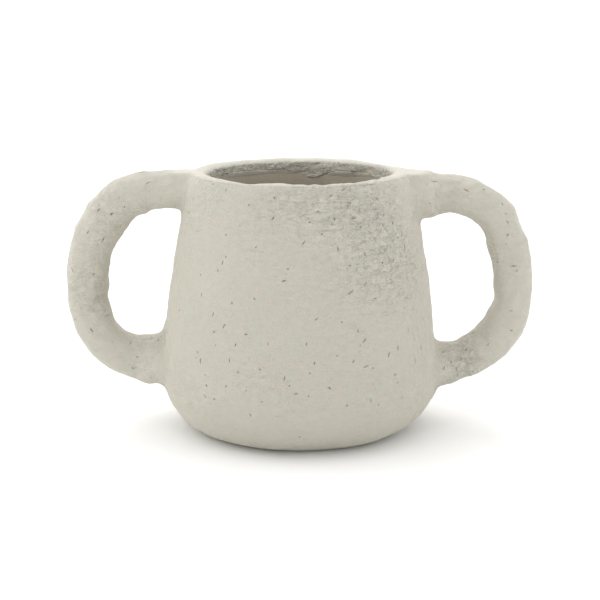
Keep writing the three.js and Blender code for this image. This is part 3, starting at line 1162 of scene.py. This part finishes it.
def group_node(tree, group, **inputs):
    """A node that runs a group: its output, or all of them if it has several."""
    node = tree.nodes.new("ShaderNodeGroup")
    node.node_tree = group
    feed(tree, node, inputs)
    return node.outputs if len(node.outputs) > 1 else node.outputs[0]


def millimetres(tree):
    """Object coordinates in millimetres."""
    return times(tree, add(tree, "ShaderNodeTexCoord").outputs["Object"], 1 / MM)


def stored(tree, name):
    """A value stored on the surface by mark_surface."""
    return add(tree, "ShaderNodeAttribute", attribute_name=name).outputs["Fac"]


def new_material(name):
    """A material with its node tree and its shader."""
    material = bpy.data.materials.new(name)
    material.use_nodes = True
    return material, material.node_tree, material.node_tree.nodes["Principled BSDF"]


def pulp_material(name, base):
    """Rough pulp with holes, pores, fibres, grain and folds, as mark_surface says where."""
    material, tree, shader = new_material(name)
    place = millimetres(tree)
    rough = stored(tree, "rough")
    painted_shade = stored(tree, "painted_shade")
    cluster = ramp(tree, noise_of(tree, place, 0.05, detail=1.0), 0.4, 0.65, 0.3, 1.0)
    holes = group_node(tree, pits, Place=place, Cell=7.0, Radius=0.65)
    holes = calc(tree, "MULTIPLY", holes, cluster)
    pores = group_node(tree, pits, Place=place, Cell=2.6, Radius=0.5)
    pores = calc(tree, "MULTIPLY", pores, scaled(tree, rough, 0.3, 0.1))
    strands = group_node(
        tree, fibres, Place=place, Cell=11.0, Length=4.0, Width=0.5, Share=0.5
    )
    height = group_node(
        tree,
        grain,
        Place=place,
        Wrinkles=scaled(tree, rough, 0.5, 0.2),
        Mush=scaled(tree, rough, 0.15, 0.25),
        Upright=scaled(tree, stored(tree, "grainy"), 0.8),
    )
    coarse = group_node(tree, crumples, Place=place, Size=4.5, **{"Crease Width": 0.08})
    ragged = calc(tree, "MINIMUM", rough, 1.2)
    creases = calc(tree, "MULTIPLY", coarse["Crease"], ragged)
    folds = calc(tree, "MULTIPLY", coarse["Height"], ragged)
    height = calc(tree, "ADD", height, scaled(tree, folds, 1.3))
    for dent, depth in ((holes, 0.7), (pores, 0.25), (strands, 0.35), (creases, 0.2)):
        height = calc(tree, "SUBTRACT", height, calc(tree, "MULTIPLY", dent, depth))
    colour = group_node(tree, tint, Place=place, Base=(*base, 1), Drift=0.8)
    # Painted shade: the colour is darkened in the shaded places
    colour = blend_colours(tree, scaled(tree, painted_shade, 0.3), colour, PAINTED_SHADE_COLOUR)
    # Painted highlights: lighter colour on the fold ridges, the rim's crest and the handles
    painted_highlights = calc(tree, "ADD", scaled(tree, folds, 1.2), stored(tree, "painted_light"), clamp=True)
    colour = blend_colours(tree, painted_highlights, colour, PAINTED_LIGHT_COLOUR)
    # Dark strands, partly their own fibre colour and partly painted shade in the nicks, then
    # painted shade in the pores, creases and holes
    for dent, share, shade_of in (
        (strands, 0.5, FIBRE_COLOUR),
        (pores, 0.1, PIT_SHADE_COLOUR),
        (creases, 0.15, PIT_SHADE_COLOUR),
        (holes, 0.7, PIT_SHADE_COLOUR),
    ):
        colour = blend_colours(tree, calc(tree, "MULTIPLY", dent, share), colour, shade_of)
    tree.links.new(colour, shader.inputs["Base Color"])
    dry = noise_of(tree, place, 0.3, detail=2.0)
    tree.links.new(ramp(tree, dry, 0.3, 0.7, 0.82, 0.97), shader.inputs["Roughness"])
    shader.inputs["Specular IOR Level"].default_value = 0.25
    shader.inputs["Sheen Weight"].default_value = 0.5
    shader.inputs["Sheen Roughness"].default_value = 0.35
    shader.inputs["Sheen Tint"].default_value = SHEEN_TINT
    bump = add(tree, "ShaderNodeBump", {"Height": height, "Strength": 1.0, "Distance": MM})
    tree.links.new(bump.outputs["Normal"], shader.inputs["Normal"])
    return material


def coat_material():
    material, tree, shader = new_material("waterproof_coat")
    place = millimetres(tree)
    colour = blend_colours(tree, noise_of(tree, place, 0.06, detail=3.0), *COAT_COLOURS)
    tree.links.new(colour, shader.inputs["Base Color"])
    strokes = noise_of(tree, place, 0.5, detail=3.0)
    tree.links.new(ramp(tree, strokes, 0.3, 0.7, 0.35, 0.55), shader.inputs["Roughness"])
    bump = add(tree, "ShaderNodeBump", {"Height": strokes, "Strength": 1.0, "Distance": 0.3 * MM})
    tree.links.new(bump.outputs["Normal"], shader.inputs["Normal"])
    return material


def wire_material():
    material, tree, shader = new_material("wire")
    place = millimetres(tree)
    drawn = noise_of(tree, place, 1.5, detail=3.0)
    colour = blend_colours(tree, drawn, *WIRE_COLOURS)
    tree.links.new(colour, shader.inputs["Base Color"])
    tree.links.new(ramp(tree, drawn, 0.3, 0.7, 0.35, 0.6), shader.inputs["Roughness"])
    shader.inputs["Metallic"].default_value = 1.0
    return material


# What the pieces and the CAD nodes that stay wear


def dress(mesh, material):
    mesh.materials.clear()
    mesh.materials.append(material)


def stand_for(piece, name):
    """Puts a finished piece in the place of the CAD node of that name."""
    shade(piece)
    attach(piece, "root")
    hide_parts(name)


wall_pulp = pulp_material("wall_pulp", PULP_BASE)
for name, piece in pieces.items():
    mark_surface(piece)
    dress(piece.data, wall_pulp)
    stand_for(piece, name)

lining = coat()
dress(lining.data, coat_material())
stand_for(lining, "lining")

drawn_wire = wire_material()
for name in CORE_NODES:
    dress(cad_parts[name].data, drawn_wire)
dress(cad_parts["floor_seam_strip"].data, pulp_material("inside_pulp", STRIP_BASE))


# Floor and light

FLOOR_RADIUS = 200
FLOOR_SIDES = 64
FLOOR_COLOUR = (0.95, 0.95, 0.945, 1)

# The surround: an even share, and wide glows behind and at the sides
TENT_EVEN = 0.93
GLOW_SHARPNESS = 4
GLOWS = [
    (Vector((0.7, 0.7, 0.25)), 0.55),
    (Vector((0.0, 1.0, 0.25)), 0.65),
    (Vector((-0.7, 0.7, 0.25)), 0.6),
    (Vector((-1.0, 0.0, 0.25)), 0.6),
    (Vector((1.0, 0.0, 0.25)), 0.15),
]

TOP_LIGHT_FROM = Vector((-0.25, 0.2, 0.95))
TOP_LIGHT_STRENGTH = 0.6
TOP_LIGHT_SPREAD = 80


def soft_top_light():
    data = bpy.data.lights.new("top_light", "SUN")
    data.energy = TOP_LIGHT_STRENGTH
    data.angle = math.radians(TOP_LIGHT_SPREAD)
    holder = bpy.data.objects.new("top_light", data)
    holder.location = TOP_LIGHT_FROM
    point_at(holder, Vector((0, 0, 0)))
    bpy.context.scene.collection.objects.link(holder)


def white_floor():
    shape = bmesh.new()
    bmesh.ops.create_circle(shape, cap_ends=True, radius=FLOOR_RADIUS, segments=FLOOR_SIDES)
    floor = as_object("floor", shape)
    material, _, shader = new_material("white_floor")
    shader.inputs["Base Color"].default_value = FLOOR_COLOUR
    shader.inputs["Roughness"].default_value = 0.9
    shader.inputs["Specular IOR Level"].default_value = 0.1
    floor.data.materials.append(material)


def white_tent():
    world = bpy.data.worlds.new("tent")
    world.use_nodes = True
    bpy.context.scene.world = world
    tree = world.node_tree
    way = add(tree, "ShaderNodeTexCoord").outputs["Generated"]
    strength = TENT_EVEN
    for direction, glow in GLOWS:
        facing = dot(tree, way, direction.normalized())
        lobe = calc(tree, "POWER", calc(tree, "MAXIMUM", facing, 0.0), GLOW_SHARPNESS)
        strength = calc(tree, "ADD", strength, calc(tree, "MULTIPLY", lobe, glow))
    background = tree.nodes["Background"]
    background.inputs["Color"].default_value = (1, 1, 1, 1)
    tree.links.new(strength, background.inputs["Strength"])


white_floor()
white_tent()
soft_top_light()
bpy.context.scene.view_settings.view_transform = "Standard"
